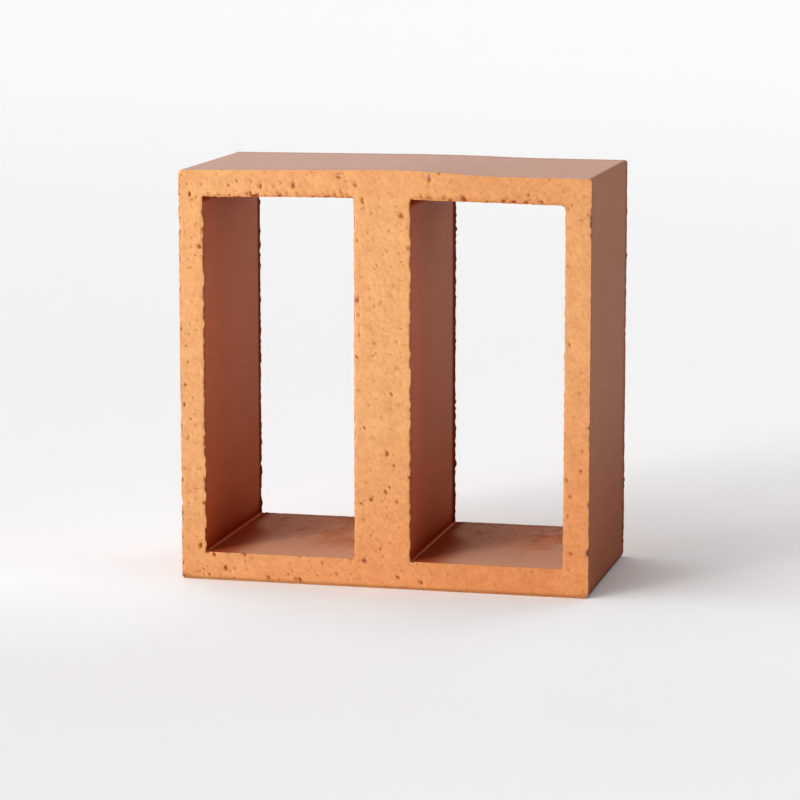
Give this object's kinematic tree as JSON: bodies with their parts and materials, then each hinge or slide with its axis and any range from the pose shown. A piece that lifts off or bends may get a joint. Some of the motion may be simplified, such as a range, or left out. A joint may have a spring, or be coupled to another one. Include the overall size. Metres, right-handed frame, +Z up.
{
  "type": "breeze block",
  "caption": "Square terracotta breeze block with tall rectangular openings right through on either side of a thick web, for screens and ventilated walls.",
  "frame": {"origin": "middle of the flat bed face that the block stands on", "axes": "+X across the face, +Y along the extrusion from the front wire-cut face to the rear one, +Z up"},
  "size_m": [0.2, 0.1, 0.2],
  "materials": {
    "fired_clay": "unglazed, sandy on the wire-cut faces and satin on the extruded ones"
  },
  "bodies": {
    "root": {"breeze_block": "fired_clay"}
  },
  "joints": []
}
